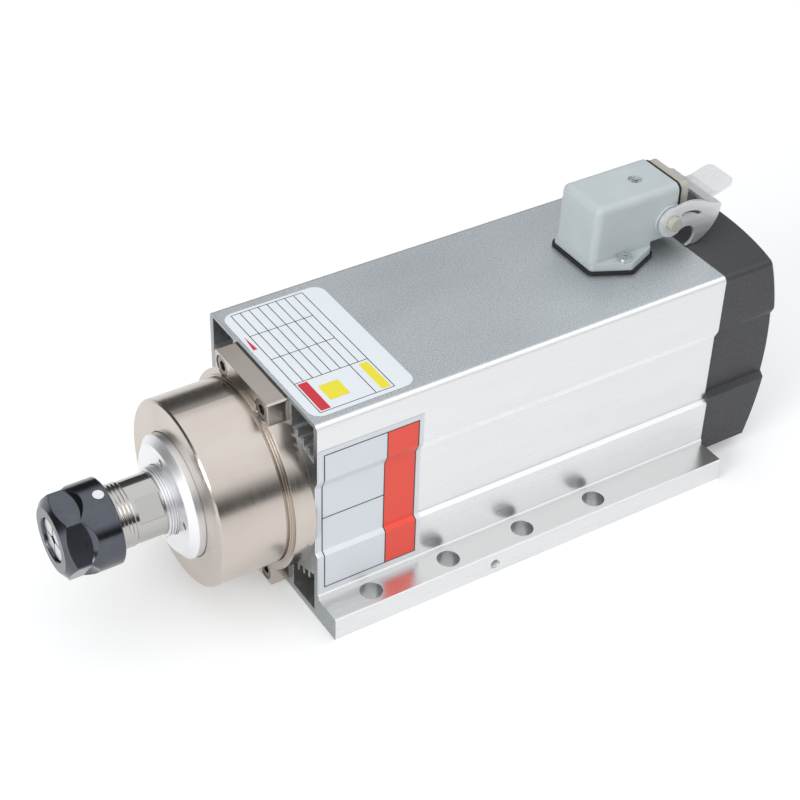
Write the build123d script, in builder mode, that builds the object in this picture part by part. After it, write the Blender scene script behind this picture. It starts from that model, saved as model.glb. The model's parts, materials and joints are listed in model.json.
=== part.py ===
from build123d import *

import os
from math import cos, hypot, radians, sin, sqrt, tan

# Motor spindle for wood and aluminium routers, square and air cooled, with an
# ER20 collet nose. Millimetres. Origin on the base face, at the centre of the
# bolt pattern; +X runs from the nose to the fan, +Z up.

# Mounting base
bolt_pitch = 35.0
bolts_per_side = 4
bolt_edge_distance = 7.2
bolt_hole_radius = 4.5
first_bolt_setback = 20.0
flange_width = 108.8
flange_thickness = 10.5
flange_edge_radius = 0.8
side_tap_radius = 2.1
side_tap_depth = 8.0

# Extruded body
body_length = 185.5
body_width = 82.0
body_height = 94.0
axis_height = 48.6
body_edge_radius = 2.3
side_wall = 2.5
top_wall = 1.6
floor_wall = 3.0
stator_bore_radius = 36.5
rib_half_width = 22.2
duct_inner_height = 32.9
duct_outer_height = 27.4
duct_fin_height = 3.0
duct_fin_width = 1.2
duct_fins = 3
recess_low = 32.0
recess_high = 64.2
recess_depth = 1.8
recess_slope = 4.0
plinth_height = 12.0
plinth_step = 0.6

# Fits between pieces
fit_gap = 0.03
running_gap = 0.08
clearance = 0.3
head_gap = 0.15
screw_point_gap = 2.0

# Front bearing housing
nose_radius = 37.25
nose_length = 28.5
nose_groove_width = 0.9
nose_groove_depth = 0.9
nose_edge = 0.8
flange_ring_radius = 40.4
flange_ring_length = 8.5
flange_lip_radius = 38.0
flange_lip_length = 1.2
bar_top_gap = 1.1
bar_bottom_gap = 4.3
bar_margin = 5.2
bar_edge_radius = 1.0
web_thickness = 6.0
race_shoulder = 3.0
spigot_wall = 4.5
spigot_length = 8.0
housing_screw_edge = 5.1
housing_screw_wall = 3.0
housing_screw_radius = 2.5
housing_head_radius = 4.2
housing_head_height = 4.6
housing_screw_length = 14.0
hex_socket_radius = 2.3

# Front bearing cap
cap_radius = 24.6
cap_recess_depth = 2.0
cap_rim_length = 2.9
cap_bevel_length = 2.6
cap_face_radius = 21.3
cap_pin_hole_radius = 1.5
cap_pin_hole_circle = 17.5
cap_pin_holes = 4
cap_pin_hole_depth = 3.0
cap_spigot_length = 2.5

# Shaft, from the nose to the fan
shaft_nose_setback = 80.0
shaft_nose_radius = 12.3
wrench_flat_front = 57.0
wrench_flat_length = 10.0
wrench_flat_width = 22.6
wrench_flat_angle = 38.0
shaft_seat_radius = 12.5
sleeve_front = 46.4
sleeve_radius = 13.6
sleeve_rings = 3
sleeve_groove_depth = 0.9
rotor_shaft_radius = 12.0
rear_shoulder_radius = 10.0
rear_seat_radius = 7.5
fan_seat_radius = 6.0
fan_thread_radius = 3.0
shaft_nose_edge = 0.8
fan_seat_relief = 0.5
thread_stand_out = 1.0
circlip_thickness = 1.0
circlip_groove_radius = 7.0
circlip_outer_radius = 9.4
circlip_opening = 3.0

# Bearings
front_bearing_radius = 23.5
front_bearing_width = 12.0
front_bearings = 2
front_ball_radius = 3.1
front_ball_circle = 18.0
rear_bearing_radius = 16.0
rear_bearing_width = 9.0
rear_ball_radius = 2.3
rear_ball_circle = 11.75
balls_per_row = 11
race_lip = 1.55
cage_thickness = 1.3
cage_lip = 1.0
ball_gap = 0.12
locknut_radius = 18.0
locknut_length = 7.0
locknut_slots = 4
locknut_slot_width = 5.0
locknut_slot_depth = 2.4

# Stator and rotor
stator_front = 46.0
stator_length = 84.0
air_gap = 0.4
rotor_radius = 19.6
stator_slots = 18
slot_width = 3.4
slot_depth = 10.0
slot_mouth = 1.6
end_turn_length = 15.0
end_turn_inner = 22.5
end_turn_outer = 33.5
end_turn_round = 3.5
slot_lip = 1.2
slot_liner = 0.25
end_ring_radius = 18.4
end_ring_length = 6.0
balance_pegs = 9
balance_peg_radius = 1.2
balance_peg_length = 3.0

# Rear bearing housing
rear_plate_thickness = 6.0
rear_bar_top_gap = 3.1
rear_bar_margin = 4.0
rear_screw_edge = 3.7
rear_screw_wall = 1.3
rear_screw_radius = 2.0
rear_head_radius = 3.5
rear_head_height = 4.0
rear_socket_radius = 1.8
rear_hub_radius = 20.5
rear_hub_depth = 11.0
rear_web_thickness = 4.0
rear_screw_length = 12.0
cover_post_spacing = 12.0
cover_post_radius = 3.6
cover_post_length = 7.0
cover_post_edge = 3.9
rear_lip_thickness = 1.4
cover_screw_radius = 1.9
cover_screw_head_radius = 3.5
cover_screw_head_height = 2.2
wave_spring_thickness = 1.6
wave_spring_waves = 3
wave_radius = 60.0
wave_depth = 0.55

# Fan
fan_blades = 9
fan_tip_gap = 1.0
fan_hub_radius = 11.0
fan_front_gap = 8.0
fan_width = 11.0
fan_disc_thickness = 1.8
fan_blade_thickness = 1.6
fan_blade_sweep = 26.0
fan_nut_across_flats = 10.0
fan_nut_thickness = 5.0
washer_thickness = 1.0
washer_margin = 1.5

# Rear cover
cover_bottom = 6.0
cover_wall = 2.6
cover_crown_radius = 145.0
cover_reach = 37.0
cover_edge_bevel = 0.8
cover_heel_radius = 8.0
cover_recess_low = 35.0
cover_recess_high = 64.2
cover_recess_depth = 3.0
cover_recess_step = 1.2
cover_recess_slope = 4.8
cover_head_depth = 2.9
cover_head_seat = 4.0
cover_column_radius = 4.8
cross_slot_width = 0.9
grille_depth = 9.0
grille_rings = 4
grille_first_radius = 8.0
grille_rim = 2.6
grille_slot_width = 3.4
grille_spokes = 6
grille_spoke_width = 4.0

# Collet chuck
collet_angle = 8.0
collet_mouth_radius = 10.5
collet_taper_length = 24.0
collet_groove_radius = 9.0
collet_groove_length = 2.2
collet_rim_length = 4.4
collet_seat_gap = 0.5
collet_face_radius = 8.2
collet_bore_radius = 1.6
collet_slots = 4
collet_slot_width = 0.7
collet_web = 5.0
tool_passage_radius = 6.2
tool_passage_length = 12.0
nut_length = 22.2
nut_radius = 17.0
nut_face_radius = 12.9
nut_cone_length = 2.9
nut_across_flats = 29.8
nut_flat_length = 10.5
nut_flat_runout = 40.0
nut_flat_arc_radius = 17.0
nut_hex_angle = 7.0
nut_opening_radius = 8.7
nut_overhang = 7.6
nut_edge = 0.6
nut_mouth_edge = 0.4
balance_screw_radius = 2.2
balance_screw_setback = 3.6
balance_screw_angle = 79.0
balance_screw_depth = 3.2

# Connector on the top of the body
plug_front = 140.2
plug_plate_half_width = 12.2
plug_lobe_setback = 14.8
plug_lobe_half_width = 19.6
plug_plate_length = 28.8
plug_tail_half_width = 13.4
plug_plate_thickness = 3.0
gasket_thickness = 1.5
gasket_margin = 1.0
plug_screw_spacing = 31.2
plug_screw_setback = 13.8
plug_screw_radius = 1.5
plug_screw_head_radius = 2.9
plug_screw_head_height = 1.7
plug_screw_length = 7.0
plug_half_width = 12.5
plug_height = 27.3
plug_front_draft = 1.2
plug_reach = 40.4
plug_underside = 4.8
plug_corner_radius = 3.0
plug_plate_round = 2.0
plug_port_margin = 1.0
plug_wall = 2.2
plug_boss_radius = 6.8
plug_boss_height = 1.2
seal_thickness = 1.6
seal_inset = 0.5
insert_reach = 4.0
insert_inset = 1.0
insert_corner_radius = 2.6
insert_socket_width = 16.4
insert_socket_height = 14.0
insert_socket_depth = 10.0
insert_socket_round = 1.5
insert_screw_grip = 3.4
insert_body_depth = 16.0
contact_radius = 1.25
contact_spacing = 7.2
contact_length = 19.0
contact_recess = 6.0
insert_screw_setback = 27.8
insert_screw_radius = 1.7
insert_screw_head_radius = 2.7
insert_screw_recess = 0.9
cable_port_radius = 7.0
cable_port_setback = 14.0
lead_radius = 1.1
lead_step = 5.0
lead_bend = 2.4

# Locking lever of the connector, measured from its pivot
pivot_setback = 36.8
pivot_height = 12.6
pivot_radius = 3.0
pivot_stand_out = 2.6
lever_thickness = 1.3
lever_boss_radius = 6.5
lever_hook_x = 7.0
lever_hook_z = -8.8
lever_hook_radius = 4.95
lever_slot_radius = 11.0
lever_slot_width = 1.6
lever_slot_from = 52.0
lever_slot_span = 49.0
lever_brow_x = 9.5
lever_brow_z = 7.0
lever_back_x = 21.0
lever_back_z = -8.2
lever_foot_x = 12.6
lever_foot_z = -13.75
lever_bridge_front = 17.2
lever_bridge_rear = 24.4
lever_bridge_front_z = 4.2
lever_bridge_rear_z = 1.6
lever_tab_half_width = 8.0
lever_tab_reach = 37.2
lever_tab_height = 4.4
lever_tab_radius = 3.0
lever_tab_bend = 27.8
pivot_edge = 0.5

# Stations along the spindle axis and heights worked out from the sizes above
front_face = -(bolts_per_side - 1) / 2 * bolt_pitch - first_bolt_setback
rear_face = front_face + body_length
half_width = body_width / 2
bolt_row_spacing = flange_width - 2 * bolt_edge_distance
bar_top = body_height - bar_top_gap - axis_height
bar_bottom = axis_height - bar_bottom_gap
rear_bar_top = body_height - cover_wall - rear_bar_top_gap - axis_height
rear_bar_bottom = axis_height - cover_bottom - cover_wall - clearance
spindle_axis = Axis((0, 0, axis_height), (1, 0, 0))


def station(x):
    """Plane across the spindle axis, local x along +Y and local y along +Z."""
    return Plane(origin=(x, 0, axis_height), x_dir=(0, 1, 0), z_dir=(1, 0, 0))


# Plane through the spindle axis: local x along +X, local y is the radius
turning = Plane(origin=(0, 0, axis_height), x_dir=(1, 0, 0), z_dir=(0, -1, 0))


def ring_of(x, length, outer, inner=0.0, mode=Mode.ADD):
    """Turned ring or disc about the spindle axis, inside the open part."""
    with BuildSketch(station(x)) as section:
        Circle(outer)
        if inner > 0:
            Circle(inner, mode=Mode.SUBTRACT)
    extrude(section.sketch, amount=length, mode=mode)


def turn(*points, mode=Mode.ADD):
    """Revolve a closed outline of (x, radius) points about the spindle axis."""
    with BuildSketch(turning) as section:
        with BuildLine():
            Polyline(*points, close=True)
        make_face()
    revolve(section.sketch, axis=spindle_axis, mode=mode)


def keep(part, label):
    """Label the piece and write its STEP file."""
    part.label = label
    export_step(part, f"parts/{label}.step")


def bar_screw_places(bore_circle, head_radius, heights):
    """Screws of two bars, on a circle that clears the stator bore, their heads side by side at least."""
    return [
        (side * sqrt(max(bore_circle**2 - z**2, (2 * head_radius) ** 2)), z)
        for side in (-1, 1)
        for z in heights
    ]


front_screw_places = bar_screw_places(
    stator_bore_radius + housing_screw_wall + housing_screw_radius,
    housing_head_radius,
    (bar_top - housing_screw_edge, housing_screw_edge - bar_bottom),
)
rear_screw_places = bar_screw_places(
    stator_bore_radius + rear_screw_wall + rear_screw_radius,
    rear_head_radius,
    (rear_bar_top - rear_screw_edge, rear_screw_edge - rear_bar_bottom),
)
post_heights = (rear_bar_top - cover_post_edge, cover_post_edge - rear_bar_bottom)
post_places = [(side * cover_post_spacing / 2, z) for side in (-1, 1) for z in post_heights]
post_reach = min(hypot(*place) for place in post_places)
plug_x = front_face + plug_front
port_middle = plug_x + cable_port_setback
plug_screw_places = [(plug_x + plug_screw_setback, y * plug_screw_spacing / 2) for y in (-1, 1)]


os.makedirs("parts", exist_ok=True)

# Extruded aluminium body with stator bore, four corner air ducts and flanges
with BuildPart() as motor_body:
    with BuildSketch(Plane.YZ.offset(front_face)) as body_section:
        with BuildLine():
            Polyline(
                (0, 0),
                (flange_width / 2, 0),
                (flange_width / 2, flange_thickness),
                (half_width + plinth_step, flange_thickness),
                (half_width + plinth_step, plinth_height),
                (half_width, plinth_height + plinth_step),
                (half_width, recess_low - plinth_step),
                (half_width - recess_depth, recess_low + plinth_step),
                (half_width - recess_depth, recess_high),
                (half_width, recess_high + recess_slope),
                (half_width, body_height),
                (0, body_height),
                close=True,
            )
        make_face()
        fillet(body_section.vertices().group_by(Axis.Y)[-1].sort_by(Axis.X)[-1], body_edge_radius)
        fillet(body_section.vertices().sort_by(Axis.X)[-2:], flange_edge_radius)
        mirror(about=Plane.YZ)
        with Locations((0, axis_height)):
            Circle(stator_bore_radius, mode=Mode.SUBTRACT)
    extrude(amount=body_length)

    duct_outer = half_width - side_wall
    duct_top = body_height - top_wall - axis_height
    duct_bottom = axis_height - floor_wall
    fin_pitch = (duct_outer - rib_half_width) / (duct_fins + 1)
    for side in (-1, 1):
        for direction, duct_end in ((1, duct_top), (-1, duct_bottom)):
            with BuildSketch(station(front_face)):
                with BuildLine():
                    Polyline(
                        (side * rib_half_width, direction * duct_inner_height),
                        (side * rib_half_width, direction * duct_end),
                        (side * duct_outer, direction * duct_end),
                        (side * duct_outer, direction * duct_outer_height),
                        close=True,
                    )
                make_face()
                for fin in range(1, duct_fins + 1):
                    slope = (duct_outer_height - duct_inner_height) / (duct_outer - rib_half_width)
                    fin_root = duct_inner_height + slope * fin * fin_pitch
                    with Locations((side * (rib_half_width + fin * fin_pitch), direction * fin_root)):
                        Rectangle(duct_fin_width, 2 * duct_fin_height, mode=Mode.SUBTRACT)
            extrude(amount=body_length, mode=Mode.SUBTRACT)

    with Locations(Plane.XY.offset(flange_thickness)):
        with GridLocations(bolt_pitch, bolt_row_spacing, bolts_per_side, 2):
            Hole(bolt_hole_radius, depth=flange_thickness)

    with BuildSketch(Plane.XZ.offset(flange_width / 2)):
        with Locations((0, flange_thickness / 2)):
            Circle(side_tap_radius)
    extrude(amount=-side_tap_depth, mode=Mode.SUBTRACT)

    with BuildSketch(station(front_face)):
        with Locations(*front_screw_places):
            Circle(housing_screw_radius + fit_gap)
    extrude(amount=housing_screw_length, mode=Mode.SUBTRACT)
    with BuildSketch(station(rear_face)):
        with Locations(*rear_screw_places):
            Circle(rear_screw_radius + fit_gap)
    extrude(amount=-rear_screw_length, mode=Mode.SUBTRACT)

    with BuildSketch(Plane.XY.offset(body_height)):
        with Locations((port_middle, 0)):
            Circle(cable_port_radius)
    extrude(amount=-(body_height - axis_height - stator_bore_radius + side_wall), mode=Mode.SUBTRACT)

    with BuildSketch(Plane.XY.offset(body_height)):
        with Locations(*plug_screw_places):
            Circle(plug_screw_radius + fit_gap)
    extrude(amount=-(plug_screw_length + clearance), mode=Mode.SUBTRACT)
keep(motor_body.part, "motor_body")

# Front bearing housing: nose cylinder, flange ring and two screw bars
nose_front = front_face - flange_ring_length - nose_length
bearing_front = nose_front + cap_recess_depth + cap_spigot_length
bearing_rear = bearing_front + front_bearings * front_bearing_width
groove_rear = front_face - flange_ring_length - flange_lip_length
head_floor = front_face - flange_ring_length + housing_head_height + clearance
with BuildPart() as front_bearing_housing:
    with BuildSketch(station(front_face - flange_ring_length)):
        for (y, z), grows in zip(front_screw_places, (Align.MIN, Align.MAX)):
            bar_size = (2 * (abs(y) + bar_margin), abs(z) + housing_screw_edge)
            Rectangle(*bar_size, align=(Align.CENTER, grows))
        Circle(flange_ring_radius)
    extrude(amount=flange_ring_length)
    bar_corners = front_bearing_housing.edges().filter_by(Axis.X)
    fillet(bar_corners.group_by(Axis.Z)[0] + bar_corners.group_by(Axis.Z)[-1], bar_edge_radius)
    turn(
        (nose_front, 0),
        (nose_front, nose_radius - nose_edge),
        (nose_front + nose_edge, nose_radius),
        (groove_rear - nose_groove_width, nose_radius),
        (groove_rear - nose_groove_width, nose_radius - nose_groove_depth),
        (groove_rear, nose_radius - nose_groove_depth),
        (groove_rear, flange_lip_radius),
        (front_face - flange_ring_length, flange_lip_radius),
        (front_face, stator_bore_radius - fit_gap),
        (front_face + spigot_length, stator_bore_radius - fit_gap),
        (front_face + spigot_length, 0),
    )
    turn(
        (nose_front, 0),
        (nose_front, cap_radius + clearance),
        (nose_front + cap_recess_depth, cap_radius + clearance),
        (nose_front + cap_recess_depth, front_bearing_radius + fit_gap),
        (bearing_rear, front_bearing_radius + fit_gap),
        (bearing_rear, front_bearing_radius - race_shoulder),
        (bearing_rear + web_thickness, front_bearing_radius - race_shoulder),
        (bearing_rear + web_thickness, stator_bore_radius - spigot_wall),
        (front_face + spigot_length, stator_bore_radius - spigot_wall),
        (front_face + spigot_length, 0),
        mode=Mode.SUBTRACT,
    )
    with BuildSketch(station(front_face - flange_ring_length)):
        with Locations(*front_screw_places):
            Circle(housing_head_radius + head_gap)
    extrude(amount=head_floor - front_face + flange_ring_length, mode=Mode.SUBTRACT)
    with BuildSketch(station(front_face - flange_ring_length)):
        with Locations(*front_screw_places):
            Circle(housing_screw_radius + clearance)
    extrude(amount=flange_ring_length, mode=Mode.SUBTRACT)
keep(front_bearing_housing.part, "front_bearing_housing")


def socket_screws(places, head_seat, shank, head, socket, reach, head_height):
    """Socket head screws on one station: the shank runs by reach, the head the other way."""
    with BuildPart() as screws:
        with BuildSketch(station(head_seat)):
            with Locations(*places):
                Circle(head)
        extrude(amount=head_height)
        with BuildSketch(station(head_seat)):
            with Locations(*places):
                Circle(shank)
        extrude(amount=reach)
        with BuildSketch(station(head_seat + head_height)):
            with Locations(*places):
                RegularPolygon(socket, 6)
        extrude(amount=-head_height / 2, mode=Mode.SUBTRACT)
    return screws.part


front_screw_reach = front_face - head_floor + housing_screw_length - screw_point_gap
front_screws = socket_screws(
    front_screw_places, head_floor, housing_screw_radius, housing_head_radius, hex_socket_radius,
    front_screw_reach, -housing_head_height
)
keep(front_screws, "front_housing_screws")

# Threaded cap that holds the front bearings, with four pin-spanner holes
cap_rim = nose_front - cap_rim_length
cap_face = cap_rim - cap_bevel_length
cap_bore = sleeve_radius + clearance
with BuildPart() as front_bearing_cap:
    turn(
        (cap_face, cap_bore),
        (cap_face, cap_face_radius),
        (cap_rim, cap_radius),
        (nose_front + cap_recess_depth, cap_radius),
        (nose_front + cap_recess_depth, front_bearing_radius),
        (bearing_front, front_bearing_radius),
        (bearing_front, front_bearing_radius - race_shoulder),
        (nose_front + cap_recess_depth, front_bearing_radius - race_shoulder),
        (nose_front + cap_recess_depth, cap_bore),
    )
    with BuildSketch(station(cap_face)):
        with PolarLocations(cap_pin_hole_circle, cap_pin_holes):
            Circle(cap_pin_hole_radius)
    extrude(amount=cap_pin_hole_depth, mode=Mode.SUBTRACT)
keep(front_bearing_cap.part, "front_bearing_cap")

# Labyrinth sleeve between the cap and the shaft, with turned rings outside
sleeve_start = front_face - sleeve_front
with BuildPart() as labyrinth_sleeve:
    ring_of(sleeve_start, bearing_front - sleeve_start, sleeve_radius, shaft_seat_radius + fit_gap)
    ring_pitch = (cap_face - sleeve_start) / (sleeve_rings + 0.5)
    for ring in range(sleeve_rings):
        ring_of(
            sleeve_start + (ring + 0.5) * ring_pitch,
            ring_pitch / 2,
            sleeve_radius,
            sleeve_radius - sleeve_groove_depth,
            mode=Mode.SUBTRACT,
        )
keep(labyrinth_sleeve.part, "labyrinth_sleeve")


def bearing_rows(first, width, rows):
    """Middle stations of a set of bearings that stand side by side."""
    return [first + (row + 0.5) * width for row in range(rows)]


def races(middles, width, bore, outside, ball_circle, ball):
    """Outer and inner races of ball bearings, grooved for their balls."""
    outer_shoulder = ball_circle + ball - race_lip
    inner_shoulder = ball_circle - ball + race_lip
    made = []
    for outer_radius, inner_radius in ((outside, outer_shoulder), (inner_shoulder, bore)):
        with BuildPart() as rings:
            for middle in middles:
                ring_of(middle - width / 2, width, outer_radius, inner_radius)
            with BuildSketch(turning):
                with Locations(*[(middle, ball_circle) for middle in middles]):
                    Circle(ball + ball_gap)
            revolve(axis=spindle_axis, mode=Mode.SUBTRACT)
        made.append(rings.part)
    return made


def balls_and_cage(middles, ball_circle, ball):
    """Balls on their pitch circles, and the ring that spaces them."""
    with BuildPart() as balls:
        for middle in middles:
            with Locations(station(middle)):
                with PolarLocations(ball_circle, balls_per_row):
                    Sphere(ball)
    with BuildPart() as cage:
        for middle in middles:
            ring_of(middle - ball - cage_lip, 2 * (ball + cage_lip), ball_circle + cage_thickness / 2,
                    ball_circle - cage_thickness / 2)
            with Locations(station(middle)):
                with PolarLocations(ball_circle, balls_per_row):
                    Cylinder(ball + ball_gap, 4 * cage_thickness, rotation=(0, 90, 0), mode=Mode.SUBTRACT)
    return balls.part, cage.part


front_rows = bearing_rows(bearing_front, front_bearing_width, front_bearings)
outer_races, inner_races = races(
    front_rows, front_bearing_width, shaft_seat_radius + fit_gap, front_bearing_radius,
    front_ball_circle, front_ball_radius
)
keep(outer_races, "front_bearing_outer_races")
keep(inner_races, "front_bearing_inner_races")
front_balls, front_cage = balls_and_cage(front_rows, front_ball_circle, front_ball_radius)
keep(front_balls, "front_bearing_balls")
keep(front_cage, "front_bearing_cages")

rear_hub_front = rear_face - rear_hub_depth
rear_bearing_front = rear_hub_front + rear_lip_thickness + wave_spring_thickness
rear_bearing_rear = rear_bearing_front + rear_bearing_width
outer_races, inner_races = races(
    [rear_bearing_front + rear_bearing_width / 2], rear_bearing_width, rear_seat_radius + fit_gap,
    rear_bearing_radius, rear_ball_circle, rear_ball_radius
)
keep(outer_races, "rear_bearing_outer_race")
keep(inner_races, "rear_bearing_inner_race")
rear_balls, rear_cage = balls_and_cage(
    [rear_bearing_front + rear_bearing_width / 2], rear_ball_circle, rear_ball_radius
)
keep(rear_balls, "rear_bearing_balls")
keep(rear_cage, "rear_bearing_cage")

# Slotted locknut that clamps the front inner races against the sleeve
with BuildPart() as bearing_locknut:
    ring_of(bearing_rear, locknut_length, locknut_radius, shaft_seat_radius + fit_gap)
    with BuildSketch(station(bearing_rear)):
        with PolarLocations(locknut_radius, locknut_slots):
            Rectangle(2 * locknut_slot_depth, locknut_slot_width)
    extrude(amount=locknut_length, mode=Mode.SUBTRACT)
keep(bearing_locknut.part, "bearing_locknut")

# Stepped shaft with the collet taper in its nose
shaft_nose = front_face - shaft_nose_setback
locknut_rear = bearing_rear + locknut_length
stator_start = front_face + stator_front
stator_end = stator_start + stator_length
fan_front = rear_face + fan_front_gap
fan_rear = fan_front + fan_width
shaft_end = fan_rear + washer_thickness + fan_nut_thickness + thread_stand_out
taper_end_radius = collet_mouth_radius - collet_taper_length * tan(radians(collet_angle))
with BuildPart() as spindle_shaft:
    turn(
        (shaft_nose, 0),
        (shaft_nose, shaft_nose_radius - shaft_nose_edge),
        (shaft_nose + shaft_nose_edge, shaft_nose_radius),
        (sleeve_start, shaft_nose_radius),
        (sleeve_start, shaft_seat_radius),
        (locknut_rear, shaft_seat_radius),
        (locknut_rear, rotor_shaft_radius),
        (stator_end + end_ring_length, rotor_shaft_radius),
        (stator_end + end_ring_length, rear_shoulder_radius),
        (rear_bearing_front, rear_shoulder_radius),
        (rear_bearing_front, rear_seat_radius),
        (rear_bearing_rear, rear_seat_radius),
        (rear_bearing_rear, circlip_groove_radius),
        (rear_bearing_rear + circlip_thickness + fit_gap, circlip_groove_radius),
        (rear_bearing_rear + circlip_thickness + fit_gap, rear_seat_radius),
        (fan_front, rear_seat_radius),
        (fan_front, fan_seat_radius),
        (fan_rear - fan_seat_relief, fan_seat_radius),
        (fan_rear - fan_seat_relief, fan_thread_radius),
        (shaft_end, fan_thread_radius),
        (shaft_end, 0),
    )
    turn(
        (shaft_nose, 0),
        (shaft_nose, collet_mouth_radius),
        (shaft_nose + collet_taper_length, taper_end_radius),
        (shaft_nose + collet_taper_length, tool_passage_radius),
        (shaft_nose + collet_taper_length + tool_passage_length, tool_passage_radius),
        (shaft_nose + collet_taper_length + tool_passage_length, 0),
        mode=Mode.SUBTRACT,
    )
    for turned in (0, 180):
        angle = radians(wrench_flat_angle + turned)
        outward = (0, -cos(angle), sin(angle))
        flat_middle = front_face - wrench_flat_front + wrench_flat_length / 2
        flat_centre = (
            flat_middle,
            outward[1] * wrench_flat_width / 2,
            axis_height + outward[2] * wrench_flat_width / 2,
        )
        with BuildSketch(Plane(origin=flat_centre, x_dir=(1, 0, 0), z_dir=outward)):
            Rectangle(wrench_flat_length, 2 * shaft_nose_radius)
        extrude(amount=shaft_nose_radius, mode=Mode.SUBTRACT)
keep(spindle_shaft.part, "spindle_shaft")

# Circlip behind the rear bearing
with BuildPart() as rear_circlip:
    ring_of(rear_bearing_rear, circlip_thickness, circlip_outer_radius, circlip_groove_radius + fit_gap)
    with BuildSketch(station(rear_bearing_rear)):
        with Locations((0, circlip_outer_radius)):
            Rectangle(circlip_opening, 2 * circlip_outer_radius - 2 * rear_seat_radius + 4 * clearance)
    extrude(amount=circlip_thickness, mode=Mode.SUBTRACT)
keep(rear_circlip.part, "rear_circlip")

# Rear bearing housing: plate with two screw bars, hub and cover posts
plate_rear = rear_face + rear_plate_thickness
rear_plate_radius = half_width - cover_recess_depth - cover_wall - clearance
with BuildPart() as rear_bearing_housing:
    with BuildSketch(station(rear_face)):
        for (y, z), grows in zip(rear_screw_places, (Align.MIN, Align.MAX)):
            bar_size = (2 * (abs(y) + rear_bar_margin), abs(z) + rear_screw_edge)
            Rectangle(*bar_size, align=(Align.CENTER, grows))
        Circle(rear_plate_radius)
    extrude(amount=rear_plate_thickness)
    ring_of(rear_face - spigot_length, spigot_length, stator_bore_radius - fit_gap)
    ring_of(rear_hub_front, rear_hub_depth, rear_hub_radius)
    with BuildSketch(station(plate_rear)):
        with Locations(*post_places):
            Circle(cover_post_radius)
    extrude(amount=cover_post_length)
    turn(
        (rear_face - spigot_length, rear_hub_radius),
        (rear_face - spigot_length, stator_bore_radius - spigot_wall),
        (plate_rear - rear_web_thickness, stator_bore_radius - spigot_wall),
        (plate_rear - rear_web_thickness, rear_hub_radius),
        mode=Mode.SUBTRACT,
    )
    ring_of(rear_hub_front, rear_hub_depth + rear_plate_thickness, rear_bearing_radius - race_shoulder,
            mode=Mode.SUBTRACT)
    bearing_seat = rear_hub_front + rear_lip_thickness
    ring_of(bearing_seat, plate_rear - bearing_seat, rear_bearing_radius + fit_gap, mode=Mode.SUBTRACT)
    with BuildSketch(station(rear_face)):
        with Locations(*rear_screw_places):
            Circle(rear_screw_radius + clearance)
    extrude(amount=rear_plate_thickness, mode=Mode.SUBTRACT)
    with BuildSketch(station(plate_rear)):
        with Locations(*post_places):
            Circle(cover_screw_radius + fit_gap)
    extrude(amount=cover_post_length, mode=Mode.SUBTRACT)
keep(rear_bearing_housing.part, "rear_bearing_housing")

rear_screw_reach = rear_plate_thickness + rear_screw_length - screw_point_gap
rear_screws = socket_screws(
    rear_screw_places, plate_rear, rear_screw_radius, rear_head_radius, rear_socket_radius,
    -rear_screw_reach, rear_head_height
)
keep(rear_screws, "rear_housing_screws")

# Wave spring that preloads the rear outer race
with BuildPart() as preload_spring:
    ring_of(bearing_seat, wave_spring_thickness, rear_bearing_radius - clearance,
            rear_bearing_radius - race_shoulder + clearance)
    wave_step = 360 / wave_spring_waves
    for wave in range(wave_spring_waves):
        for face_x, turned in ((bearing_seat, 0), (bearing_seat + wave_spring_thickness, wave_step / 2)):
            angle = radians(wave * wave_step + turned)
            outward = (0, cos(angle), sin(angle))
            reach = face_x + (wave_radius - wave_depth) * (1 if face_x > bearing_seat else -1)
            with BuildSketch(Plane(origin=(reach, 0, axis_height), x_dir=(1, 0, 0), z_dir=outward)):
                Circle(wave_radius)
            extrude(amount=rear_bearing_radius, mode=Mode.SUBTRACT)
keep(preload_spring.part, "preload_spring")

# Laminated stator core with semi-closed slots
with BuildPart() as stator_core:
    ring_of(stator_start, stator_length, stator_bore_radius - fit_gap, rotor_radius + air_gap)
    slot_middle = rotor_radius + air_gap + slot_lip + slot_depth / 2
    with BuildSketch(station(stator_start)):
        with PolarLocations(slot_middle, stator_slots):
            Rectangle(slot_depth, slot_width)
        with PolarLocations(rotor_radius + air_gap, stator_slots):
            Rectangle(2 * slot_lip + slot_width, slot_mouth)
    extrude(amount=stator_length, mode=Mode.SUBTRACT)
keep(stator_core.part, "stator_core")

# Copper windings: bars through the slots and rounded end turns
with BuildPart() as stator_windings:
    with BuildSketch(station(stator_start - end_turn_length / 2)):
        with PolarLocations(slot_middle, stator_slots):
            Rectangle(slot_depth - 2 * slot_liner, slot_width - 2 * slot_liner)
    extrude(amount=stator_length + end_turn_length)
    for end_start in (stator_start - end_turn_length, stator_end):
        with BuildSketch(turning):
            with Locations((end_start + end_turn_length / 2, (end_turn_inner + end_turn_outer) / 2)):
                RectangleRounded(end_turn_length, end_turn_outer - end_turn_inner, end_turn_round)
        revolve(axis=spindle_axis)
keep(stator_windings.part, "stator_windings")

# Rotor pack, its cast end rings and their balancing pegs
with BuildPart() as rotor_core:
    ring_of(stator_start, stator_length, rotor_radius, rotor_shaft_radius + fit_gap)
keep(rotor_core.part, "rotor_core")

with BuildPart() as rotor_end_rings:
    for ring_start, peg_start in (
        (stator_start - end_ring_length, stator_start - end_ring_length - balance_peg_length),
        (stator_end, stator_end + end_ring_length),
    ):
        ring_of(ring_start, end_ring_length, end_ring_radius, rotor_shaft_radius + fit_gap)
        with BuildSketch(station(peg_start)):
            with PolarLocations((end_ring_radius + rotor_shaft_radius) / 2, balance_pegs):
                Circle(balance_peg_radius)
        extrude(amount=balance_peg_length)
keep(rotor_end_rings.part, "rotor_end_rings")

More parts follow.
